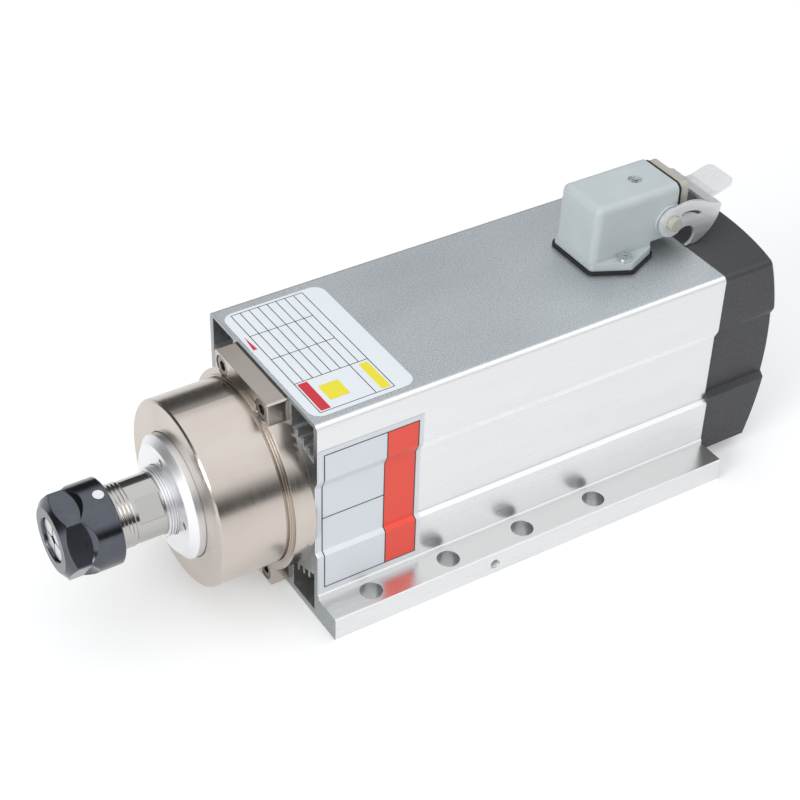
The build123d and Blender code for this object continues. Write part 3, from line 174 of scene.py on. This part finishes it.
def blastedExtrudedAluminium():
    # 6063 extrusion: drawn lines along the sides, the top blasted to a sparkling matt grey; a painted
    #                 highlight in near white on round edges and downward faces, and a painted
    #                 reflection in cream on the flange's shelf
    material, tree, shader, place = startMaterial("blastedExtrudedAluminium", "#C9CCCE", 1.0, 0.3)
    normal = addNode(tree, "ShaderNodeSeparateXYZ", links={0: place.outputs["Normal"]})
    spot = addNode(tree, "ShaderNodeSeparateXYZ", links={0: place.outputs["Object"]})
    endwise = addNode(tree, "ShaderNodeMath", {"operation": "ABSOLUTE"}, {0: normal.outputs["X"]})
    slope, height = normal.outputs["Z"], spot.outputs["Z"]
    spans = {  # what each mask reads, where it starts and where it is whole
        "facingUp": (slope, 0.75, 0.95),
        "facingDown": (slope, -0.2, -0.4),
        "leaningUp": (slope, 0.12, 0.3),
        "notLevel": (slope, 0.98, 0.93),
        "nearTop": (height, bodyHigh.z - 6 * mm, bodyHigh.z - 4 * mm),
        "nearFoot": (height, 16 * mm, 13 * mm),
        "cutEnd": (endwise.outputs[0], 0.8, 0.95),
    }
    masks = {}
    for name, (source, start, whole) in spans.items():
        mask = addNode(
            tree, "ShaderNodeMapRange", {"From Min": start, "From Max": whole}, {"Value": source}
        )
        masks[name] = mask.outputs["Result"]
    for name, operation, one, other in (
        ("top", "MULTIPLY", "facingUp", "nearTop"),
        # painted reflection: the flange's upward shelf near the foot is painted cream, standing in for
        # the side wall it reflects
        ("paintedShelfReflection", "MULTIPLY", "facingUp", "nearFoot"),
        ("rolled", "MULTIPLY", "leaningUp", "notLevel"),  # round edges and the recess's lower step
        # painted highlight: round edges, the recess's lower step and faces that look down are painted
        # near white, standing in for the softbox and white floor they reflect
        ("bright", "MAXIMUM", "rolled", "facingDown"),
        ("matt", "MAXIMUM", "top", "bright"),
    ):
        joined = addNode(
            tree, "ShaderNodeMath", {"operation": operation}, {0: masks[one], 1: masks[other]}
        )
        masks[name] = joined.outputs[0]

    blast = grain(tree, place, 0.55, detail=4)  # blasting grit, drawn coarser than the real 0.2 mm
    cloud = grain(tree, place, 45, (2, 1, 1), detail=2)
    drawn = grain(tree, place, 0.9, (200, 1, 1), detail=1)
    scuffs = grain(tree, place, 9, (5, 1, 1), detail=6)
    side = tint(tree, scuffs, "#E1E2E3", "#E4E5E6", {"From Min": 0.35, "From Max": 0.7})
    blasted = tint(tree, blast, "#C0C5C8", "#E6E9EB", {"From Min": 0.36, "From Max": 0.66})
    clouded = addNode(
        tree, "ShaderNodeMix", {"data_type": "RGBA", "blend_type": "MULTIPLY", 0: 1.0},
        {6: blasted, 7: tint(tree, cloud, "#EDEFF0", "#FFFFFF")},
    )
    layer = addNode(
        tree, "ShaderNodeMix", {"data_type": "RGBA"}, {0: masks["top"], 6: side, 7: clouded.outputs[2]}
    )
    # cream on the flange's shelf is a painted reflection, near white on the bright faces a painted
    # highlight
    for name, colour in (("paintedShelfReflection", "#EFEEEC"), ("bright", "#FDFDFD"), ("cutEnd", "#9FA4A7")):
        layer = addNode(
            tree, "ShaderNodeMix", {"data_type": "RGBA", 7: hexColour(colour)},
            {0: masks[name], 6: layer.outputs[2]},
        )
    tree.links.new(layer.outputs[2], shader.inputs["Base Color"])

    sideRoughness = addNode(
        tree, "ShaderNodeMapRange", {**noiseSpan, "To Min": 0.27, "To Max": 0.3},
        {"Value": drawn.outputs["Fac"]},
    )
    roughness = addNode(
        tree, "ShaderNodeMix", {"data_type": "FLOAT", 3: 0.5},
        {0: masks["matt"], 2: sideRoughness.outputs["Result"]},
    )
    tree.links.new(roughness.outputs[0], shader.inputs["Roughness"])
    sideHeight = addNode(
        tree, "ShaderNodeMapRange", {**noiseSpan, "To Min": 0, "To Max": 0.004},
        {"Value": drawn.outputs["Fac"]},
    )
    bumps = addNode(
        tree, "ShaderNodeMix", {"data_type": "FLOAT"},
        {0: masks["top"], 2: sideHeight.outputs["Result"], 3: blast.outputs["Fac"]},
    )
    relief(tree, shader, bumps.outputs[0], 0.09, 0.35)
    return material


def nickelPlatedNose():
    # turned aluminium with a warm nickel plate: soft streaks round the axis and fine tool marks
    material, tree, shader, place = startMaterial("nickelPlatedNose", "#C8BEB5", 1.0, 0.22)
    marks = toolMarks(tree, place, 0.35)
    stains = grain(tree, place, 22, (3, 1, 1))
    varyColour(tree, shader, stains, "#C1B7AE", "#CDC4BB")
    varyRoughness(tree, shader, marks, 0.18, 0.26)
    relief(tree, shader, marks.outputs["Fac"], 0.002, 0.4)
    return material


def turnedAluminium():
    # bright turned aluminium: fine rings round the axis
    material, tree, shader, place = startMaterial("turnedAluminium", "#F1F1F3", 1.0, 0.38)
    marks = toolMarks(tree, place, 0.3)
    varyRoughness(tree, shader, marks, 0.32, 0.46)
    relief(tree, shader, marks.outputs["Fac"], 0.006, 0.25)
    return material


def castAluminium():
    # die-cast rotor rings: dull grey with a grainy skin
    material, tree, shader, place = startMaterial("castAluminium", "#A3A6A8", 1.0, 0.55)
    skin = grain(tree, place, 0.8)
    relief(tree, shader, skin.outputs["Fac"], 0.05)
    return material


def groundSteel():
    # ground shaft steel: a close mirror with hair lines round the axis
    material, tree, shader, place = startMaterial("groundSteel", "#B9B7B3", 1.0, 0.12)
    marks = toolMarks(tree, place, 0.25)
    varyRoughness(tree, shader, marks, 0.08, 0.16)
    relief(tree, shader, marks.outputs["Fac"], 0.002, 0.25)
    return material


def bearingSteel():
    # polished through-hardened steel: a mirror with a trace of haze
    material, tree, shader, place = startMaterial("bearingSteel", "#C6C7C9", 1.0, 0.1)
    haze = grain(tree, place, 1.2)
    varyRoughness(tree, shader, haze, 0.07, 0.14)
    return material


def blackOxideSteel():
    # blackened nut: a thin dark oxide over ground steel, grey where light grazes it
    material, tree, shader, place = startMaterial("blackOxideSteel", "#5A5D64", 1.0, 0.17)
    marks = toolMarks(tree, place, 0.4)
    patches = grain(tree, place, 6)
    varyColour(tree, shader, patches, "#565960", "#5F6269")
    varyRoughness(tree, shader, marks, 0.14, 0.2)
    relief(tree, shader, marks.outputs["Fac"], 0.003, 0.5)
    return material


def groundColletSteel():
    # ground spring steel: bright, with rings that show at its face
    material, tree, shader, place = startMaterial("groundColletSteel", "#D2D3D4", 1.0, 0.2)
    marks = toolMarks(tree, place, 0.25)
    relief(tree, shader, marks.outputs["Fac"], 0.01, 0.15)
    return material


def zincPlatedScrew():
    # machine screws: dull zinc with darker patches of wear
    material, tree, shader, place = startMaterial("zincPlatedScrew", "#8F8D88", 1.0, 0.34)
    wear = grain(tree, place, 1.1)
    varyColour(tree, shader, wear, "#76746F", "#A3A19B")
    relief(tree, shader, wear.outputs["Fac"], 0.02, 0.2)
    return material


def brightZincScrew():
    # small dome-headed screws of the connector and the nut's balance screw: bright, almost white
    material, tree, shader, place = startMaterial("brightZincScrew", "#DEDFE0", 1.0, 0.22)
    wear = grain(tree, place, 0.9)
    varyRoughness(tree, shader, wear, 0.16, 0.3)
    relief(tree, shader, wear.outputs["Fac"], 0.01, 0.15)
    return material


def bluedSpringSteel():
    # circlip and wave spring: tempered blue-grey
    material, tree, shader, place = startMaterial("bluedSpringSteel", "#5A6068", 1.0, 0.35)
    heat = grain(tree, place, 5)
    varyColour(tree, shader, heat, "#4C5058", "#666C78")
    return material


def stackedLaminations():
    # stacked electrical sheet: fine lines across the axis
    material, tree, shader, place = startMaterial("stackedLaminations", "#6A6C70", 1.0, 0.45)
    sheets = grain(tree, place, 0.5, (1, 200, 200), detail=1)
    varyColour(tree, shader, sheets, "#54565A", "#7C7E82")
    relief(tree, shader, sheets.outputs["Fac"], 0.03, 0.2)
    return material


def stampedZincSteel():
    # stamped lever: zinc plated sheet, softly brushed by handling
    material, tree, shader, place = startMaterial("stampedZincSteel", "#EEF0F0", 1.0, 0.5)
    rubbed = grain(tree, place, 2.5, (3, 1, 1), detail=5)
    varyColour(tree, shader, rubbed, "#EAECEC", "#F4F5F5")
    varyRoughness(tree, shader, rubbed, 0.45, 0.55)
    relief(tree, shader, rubbed.outputs["Fac"], 0.02)
    return material


def enamelledCopper():
    # varnished winding: wires of 0.8 mm show as ridges
    material, tree, shader, place = startMaterial(
        "enamelledCopper", "#9C4A22", 0.7, 0.35, {"Coat Weight": 0.5, "Coat Roughness": 0.2}
    )
    wires = grain(tree, place, 0.8, (8, 1, 1), detail=2)
    varyColour(tree, shader, wires, "#6E2E14", "#B5602F")
    relief(tree, shader, wires.outputs["Fac"], 0.2)
    return material


def silverPlatedBrass():
    # contacts: soft silver with a trace of tarnish
    material, tree, shader, place = startMaterial("silverPlatedBrass", "#D8D4C8", 1.0, 0.22)
    tarnish = grain(tree, place, 1.5)
    varyColour(tree, shader, tarnish, "#C2BBA6", "#E0DDD4")
    return material


def powderCoatedDieCasting():
    # zinc die casting with a grey powder coat: a fine orange peel
    material, tree, shader, place = startMaterial(
        "powderCoatedDieCasting", "#C3CBCC", 0.0, 0.42, {"IOR": 1.5}
    )
    peel = grain(tree, place, 0.9)
    dust = grain(tree, place, 12, detail=4)
    varyColour(tree, shader, dust, "#BFC7C8", "#C6CECF")
    varyRoughness(tree, shader, peel, 0.36, 0.5)
    relief(tree, shader, peel.outputs["Fac"], 0.02, 0.25)
    return material


def greyPolycarbonate():
    # moulded contact block and pins: warm grey, half matt
    material, tree, shader, place = startMaterial(
        "greyPolycarbonate", "#B9B7AC", 0.0, 0.4, {"IOR": 1.58}
    )
    skin = grain(tree, place, 0.5, detail=2)
    varyRoughness(tree, shader, skin, 0.34, 0.48)
    relief(tree, shader, skin.outputs["Fac"], 0.02)
    return material


def erodedBlackNylon():
    # glass-filled nylon cover from a spark-eroded mould: an even fine grain
    material, tree, shader, place = startMaterial(
        "erodedBlackNylon", "#2B2B2F", 0.0, 0.55, {"IOR": 1.56, "Specular IOR Level": 0.75}
    )
    erosion = grain(tree, place, 0.7)
    flow = grain(tree, place, 30)
    varyColour(tree, shader, flow, "#29292D", "#303034")
    varyRoughness(tree, shader, erosion, 0.48, 0.66)
    relief(tree, shader, erosion.outputs["Fac"], 0.05, 0.6)
    return material


def brownNylonCage():
    # moulded ball cages: brown nylon, half matt
    material, tree, shader, place = startMaterial("brownNylonCage", "#6B4A2E", 0.0, 0.45, {"IOR": 1.53})
    skin = grain(tree, place, 1.0)
    varyRoughness(tree, shader, skin, 0.38, 0.52)
    return material


def siliconeInsulation():
    # silicone over the motor leads: dark, with a dull skin
    material, tree, shader, place = startMaterial(
        "siliconeInsulation", "#2E2E30", 0.0, 0.5, {"IOR": 1.41}
    )
    skin = grain(tree, place, 1.4)
    varyRoughness(tree, shader, skin, 0.42, 0.58)
    return material


def blackNitrileRubber():
    # cut gasket and seal: dull black
    material, tree, shader, place = startMaterial(
        "blackNitrileRubber", "#1B1B1C", 0.0, 0.7, {"IOR": 1.52}
    )
    skin = grain(tree, place, 0.6)
    relief(tree, shader, skin.outputs["Fac"], 0.03, 0.2)
    return material


def printedVinyl(name, colour):
    # sticker film and the inks on it: smooth, with a faint waviness
    material, tree, shader, place = startMaterial(name, colour, 0.0, 0.38, {"IOR": 1.5})
    waves = grain(tree, place, 7, detail=1)
    bump = addNode(
        tree, "ShaderNodeBump", {"Strength": 0.5, "Distance": 0.03 * mm},
        {"Height": waves.outputs["Fac"]},
    )
    tree.links.new(bump.outputs[0], shader.inputs["Normal"])
    return material


finishes = {  # by the record's material slots
    "extruded_aluminium": blastedExtrudedAluminium(),
    "plated_nose": nickelPlatedNose(),
    "turned_aluminium": turnedAluminium(),
    "cast_aluminium": castAluminium(),
    "ground_steel": groundSteel(),
    "screw_steel": zincPlatedScrew(),
    "spring_steel": bluedSpringSteel(),
    "lamination_steel": stackedLaminations(),
    "blackened_steel": blackOxideSteel(),
    "lever_steel": stampedZincSteel(),
    "collet_steel": groundColletSteel(),
    "bearing_steel": bearingSteel(),
    "copper_winding": enamelledCopper(),
    "contact_brass": silverPlatedBrass(),
    "grey_die_casting": powderCoatedDieCasting(),
    "grey_plastic": greyPolycarbonate(),
    "black_plastic": erodedBlackNylon(),
    "cage_plastic": brownNylonCage(),
    "lead_plastic": siliconeInsulation(),
    "black_rubber": blackNitrileRubber(),
}
brightScrews = ("connector_screws", "insert_screw", "balance_screw")


def finishNodes():  # every CAD node gets the finish of its slot, but for the bright screws
    brightZinc = brightZincScrew()
    for part in frame["record"]["subparts"]:
        finish = brightZinc if part["node"] in brightScrews else finishes[part["material_slot"]]
        materials = nodes[part["node"]].data.materials
        materials.clear()
        materials.append(finish)


finishNodes()
print("finishes:", len(finishes))

# New pieces


def placePiece(name, mesh, body, material):  # an object that rides on its body
    data = bpy.data.meshes.new(name)
    mesh.to_mesh(data)
    mesh.free()
    piece = bpy.data.objects.new(name, data)
    bpy.context.scene.collection.objects.link(piece)
    data.materials.append(material)
    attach(piece, body)


def makeThread(name, thread, mouth, axis, inside=False):  # close rings from the mouth along an axis
    mesh = bmesh.new()
    profile = []
    for ring in range(int(thread["length"] / thread["pitch"])):
        for share, radius in ((0, "root"), (0.3, "crest"), (0.5, "crest"), (0.8, "root")):
            profile.append(((ring + share) * thread["pitch"] * mm, thread[radius] * mm))
    across = Vector((0, 0, 1))
    verts = [mesh.verts.new(mouth + axis * along + across * radius) for along, radius in profile]
    edges = [mesh.edges.new(pair) for pair in zip(verts, verts[1:])]
    bmesh.ops.spin(
        mesh, geom=verts + edges, cent=mouth, axis=axis, angle=math.tau, steps=thread["sides"],
        use_merge=True,
    )
    bmesh.ops.recalc_face_normals(mesh, faces=mesh.faces)
    if inside:
        bmesh.ops.reverse_faces(mesh, faces=mesh.faces)  # the wall of a hole looks at its axis
    mesh.normal_update()
    for face in mesh.faces:
        face.smooth = True
    for edge in mesh.edges:
        edge.smooth = len(edge.link_faces) != 2 or edge.calc_face_angle(0) < thread["sharpFrom"]
    placePiece(name, mesh, thread["body"], finishes[thread["slot"]])


nutThread = {
    "start": -65.6,  # mm from the body's front face, under the nut
    "length": 8.4, "pitch": 1.5,
    "crest": 12.62, "root": 12.31,  # radii
    "sides": 96, "sharpFrom": math.radians(40),
    "body": "spindle", "slot": "ground_steel",
}

makeThread(
    "shaftThread", nutThread, Vector((bodyLow.x + nutThread["start"] * mm, 0, axisHeight)),
    Vector((1, 0, 0)),
)

sideTapThread = {
    "depth": 0.4,  # mm under the flange's edge
    "length": 6.4, "pitch": 0.8,
    "crest": 1.86, "root": 2.07,  # radii
    "sides": 32, "sharpFrom": math.radians(40),
    "body": "housing", "slot": "extruded_aluminium",
}

makeThread(
    "sideTapThread", sideTapThread,
    Vector(mounts["side_tap"]["pos_m"]) + Vector((0, sideTapThread["depth"] * mm, 0)),
    Vector((0, 1, 0)), inside=True,
)
print("threads made")

stickerBody, stickerSlot = "housing", "grey_plastic"
vinylWhite = printedVinyl("whiteVinylFilm", "#E8EDF2")
inkRed = printedVinyl("redSignInk", "#FA5340")
inkCrimson = printedVinyl("crimsonSignInk", "#CF2E3B")
inkDark = printedVinyl("darkLineInk", "#2C3036")
inkYellow = printedVinyl("yellowSignInk", "#F0E23A")


def faceOutwards(mesh, direction):
    for face in mesh.faces:
        face.normal_update()
        if face.normal.dot(direction) < 0:
            face.normal_flip()


sideSticker = {
    "x": (-72.0, -27.2), "z": (13.2, 82.6),  # mm, the film's edges
    "frameX": (-69.8, -29.2), "frameZ": (15.4, 80.4),
    "bandStart": -42.7, "dividerZ": 48.7,
    "line": 0.45,
    "recess": ((31.4, 41.0), (32.6, 39.2), (64.2, 39.2), (68.2, 41.0)),  # the side's z and half width
    "film": 0.09, "ink": 0.03,
}


def sideHalfWidth(height):  # of the body at a height, in mm
    corners = sideSticker["recess"]
    for (z0, width0), (z1, width1) in zip(corners, corners[1:]):
        if z0 <= height <= z1:
            return width0 + (width1 - width0) * (height - z0) / (z1 - z0)
    return corners[0][1]


def sideSheet(mesh, xRange, zRange, lift):  # a strip that follows the steps of the body's side
    (x0, x1), (z0, z1) = xRange, zRange
    heights = [z0] + [z for z, width in sideSticker["recess"] if z0 < z < z1] + [z1]
    verts = [mesh.verts.new((x0 * mm, -(sideHalfWidth(z) + lift) * mm, z * mm)) for z in heights]
    edges = [mesh.edges.new(pair) for pair in zip(verts, verts[1:])]
    made = bmesh.ops.extrude_edge_only(mesh, edges=edges)["geom"]
    moved = [v for v in made if isinstance(v, bmesh.types.BMVert)]
    bmesh.ops.translate(mesh, verts=moved, vec=((x1 - x0) * mm, 0, 0))


def makeSideSheets(name, strips, lift, material):
    mesh = bmesh.new()
    for xRange, zRange in strips:
        sideSheet(mesh, xRange, zRange, lift)
    faceOutwards(mesh, Vector((0, -1, 0)))
    placePiece(name, mesh, stickerBody, material)


def makeSideSticker():
    film, ink, width = (sideSticker[name] for name in ("film", "ink", "line"))
    (x0, x1), (z0, z1) = sideSticker["frameX"], sideSticker["frameZ"]
    band, divider = sideSticker["bandStart"], sideSticker["dividerZ"]
    makeSideSheets("sideStickerFilm", [(sideSticker["x"], sideSticker["z"])], film, vinylWhite)
    makeSideSheets("sideStickerBand", [((band, x1), (z0, z1))], film + ink, inkRed)
    lines = [
        ((x0, x1), (z0, z0 + width)), ((x0, x1), (z1 - width, z1)),
        ((x0, x0 + width), (z0 + width, z1 - width)), ((x1 - width, x1), (z0 + width, z1 - width)),
        ((band - width, band), (z0, z1)),
        ((x0, band), (divider - width / 2, divider + width / 2)),
    ]
    makeSideSheets("sideStickerLines", lines, film + 2 * ink, inkDark)


makeSideSticker()

topSticker = {
    "x": (-71.1, -27.6), "y": (-36.4, 35.2), "corner": 5.0,  # mm, the film's edges and rounding
    "cornerSteps": 8,
    "gridX": (-67.2, -36.2), "gridY": (-34.2, 33.7),
    "tableEnd": -15.2,  # y where the table's cells end and the coloured blocks begin
    "columns": (18.5, 2.0),  # y of the lines that part its columns
    "rows": 8, "fullRows": (0, 6, 8),  # rows of cells, and the lines that run on past the table
    "line": 0.34,
    "redBlock": ((-66.4, -62.4), (-33.4, -16.0)),
    "yellowBlocks": (((-60.4, -52.0), (-29.6, -20.4)), ((-41.0, -37.2), (-33.4, -16.6))),
    "dart": {"x": -69.3, "tail": 10.2, "tip": 19.3, "width": 1.7},
    "film": 0.09, "ink": 0.03,
}


def flatSheet(mesh, xRange, yRange, lift):  # a rectangle on the body's top
    (x0, x1), (y0, y1) = xRange, yRange
    middle = Vector(((x0 + x1) / 2 * mm, (y0 + y1) / 2 * mm, bodyHigh.z + lift * mm))
    size = Matrix.Diagonal(((x1 - x0) * mm, (y1 - y0) * mm, 1, 1))
    bmesh.ops.create_grid(
        mesh, x_segments=1, y_segments=1, size=0.5, matrix=Matrix.Translation(middle) @ size
    )


def dartSheet(mesh, dart, lift):  # a three-sided circle, squeezed to the dart's width and length
    length, width = (dart["tip"] - dart["tail"]) * mm, dart["width"] * mm
    middle = Vector((dart["x"] * mm, dart["tail"] * mm + length / 3, bodyHigh.z + lift * mm))
    size = Matrix.Diagonal((width / math.sqrt(3), length / 1.5, 1, 1))
    bmesh.ops.create_circle(
        mesh, cap_ends=True, segments=3, radius=1, matrix=Matrix.Translation(middle) @ size
    )


def makeTopSheets(name, sheets, lift, material, dart=None):
    mesh = bmesh.new()
    for xRange, yRange in sheets:
        flatSheet(mesh, xRange, yRange, lift)
    if dart:
        dartSheet(mesh, dart, lift)
    faceOutwards(mesh, Vector((0, 0, 1)))
    placePiece(name, mesh, stickerBody, material)


def makeTopFilm():
    mesh = bmesh.new()
    flatSheet(mesh, topSticker["x"], topSticker["y"], topSticker["film"])
    bmesh.ops.bevel(
        mesh, geom=list(mesh.verts), offset=topSticker["corner"] * mm, offset_type="OFFSET",
        affect="VERTICES", segments=topSticker["cornerSteps"], profile=0.5, material=-1,
    )
    placePiece("topStickerFilm", mesh, stickerBody, vinylWhite)


def makeTopPrint():
    lift, half = topSticker["film"] + topSticker["ink"], topSticker["line"] / 2
    (x0, x1), (y0, y1) = topSticker["gridX"], topSticker["gridY"]
    rowStep = (x1 - x0) / topSticker["rows"]
    lines = []
    for row in range(topSticker["rows"] + 1):
        x = x0 + row * rowStep
        end = y0 if row in topSticker["fullRows"] else topSticker["tableEnd"]
        lines.append(((x - half, x + half), (end, y1)))
    for y in topSticker["columns"]:
        lines.append(((x0, x1 - rowStep), (y - half, y + half)))
    for y in (y0, topSticker["tableEnd"], y1):
        lines.append(((x0, x1), (y - half, y + half)))
    makeTopSheets("topStickerGrid", lines, lift, inkDark)
    makeTopSheets(
        "topStickerRedPrint", [topSticker["redBlock"]], lift, inkCrimson, topSticker["dart"]
    )
    makeTopSheets("topStickerYellowPrint", topSticker["yellowBlocks"], lift, inkYellow)


makeTopFilm()
makeTopPrint()
print("stickers made")

# Floor, sky and lamps

studio = {
    "floorSize": 60.0, "floorColour": "#E6E6E6",
    "floorGlow": 0.28,  # what the camera and reflections see over the floor's own shade: white
    "skyColour": "#FBFDFF",
    "skyTilt": (0.2, -0.15, 1.0),  # the bright part of the sky leans towards the camera's side
    "skyDark": 0.08, "skyBright": 1.2,  # strength near the horizon and overhead
    "darkUpTo": 0.38, "brightFrom": 0.76,  # where on the tilted height those two begin
    "lamps": (
        # name, place, aim, width, height, watts
        ("frontSoftbox", (-1.65, -0.5, 0.85), (0, 0, 0.05), 0.9, 0.9, 18),
    ),
}


def makeFloor():
    mesh = bmesh.new()
    bmesh.ops.create_grid(mesh, x_segments=1, y_segments=1, size=studio["floorSize"] / 2)
    data = bpy.data.meshes.new("floor")
    mesh.to_mesh(data)
    mesh.free()
    floor = bpy.data.objects.new("floor", data)
    bpy.context.scene.collection.objects.link(floor)
    # seamless paper: matt and pale, with a glow that only the camera and reflections see
    material, tree, shader, place = startMaterial(
        "paperFloor", studio["floorColour"], 0.0, 0.9,
        {"Specular IOR Level": 0.1, "Emission Color": (1, 1, 1, 1)},
    )
    rays = addNode(tree, "ShaderNodeLightPath")
    seen = rays.outputs["Is Camera Ray"]
    for kind in ("Is Glossy Ray", "Is Transmission Ray"):
        either = addNode(
            tree, "ShaderNodeMath", {"operation": "MAXIMUM"}, {0: seen, 1: rays.outputs[kind]}
        )
        seen = either.outputs[0]
    glow = addNode(
        tree, "ShaderNodeMath", {"operation": "MULTIPLY", 1: studio["floorGlow"]}, {0: seen}
    )
    tree.links.new(glow.outputs[0], shader.inputs["Emission Strength"])
    data.materials.append(material)


def makeSky():
    world = bpy.data.worlds.new("studioSky")
    bpy.context.scene.world = world
    world.use_nodes = True
    tree = world.node_tree
    direction = addNode(tree, "ShaderNodeTexCoord")
    height = addNode(
        tree, "ShaderNodeVectorMath", {"operation": "DOT_PRODUCT", 1: studio["skyTilt"]},
        {0: direction.outputs["Generated"]},
    )
    strength = addNode(
        tree, "ShaderNodeMapRange",
        {"interpolation_type": "SMOOTHSTEP",
         "From Min": studio["darkUpTo"], "From Max": studio["brightFrom"],
         "To Min": studio["skyDark"], "To Max": studio["skyBright"]},
        {"Value": height.outputs["Value"]},
    )
    background = tree.nodes["Background"]
    background.inputs["Color"].default_value = hexColour(studio["skyColour"])
    tree.links.new(strength.outputs[0], background.inputs["Strength"])


def makeLamps():
    for name, place, aim, width, height, watts in studio["lamps"]:
        lamp = bpy.data.lights.new(name, "AREA")
        lamp.shape = "RECTANGLE"
        lamp.size, lamp.size_y, lamp.energy = width, height, watts
        holder = bpy.data.objects.new(name, lamp)
        bpy.context.scene.collection.objects.link(holder)
        holder.location = place
        aimed = Vector(aim) - Vector(place)
        holder.rotation_euler = aimed.to_track_quat("-Z", "Y").to_euler()


makeFloor()
makeSky()
makeLamps()
bpy.context.scene.view_settings.view_transform = "Standard"
print("studio made")
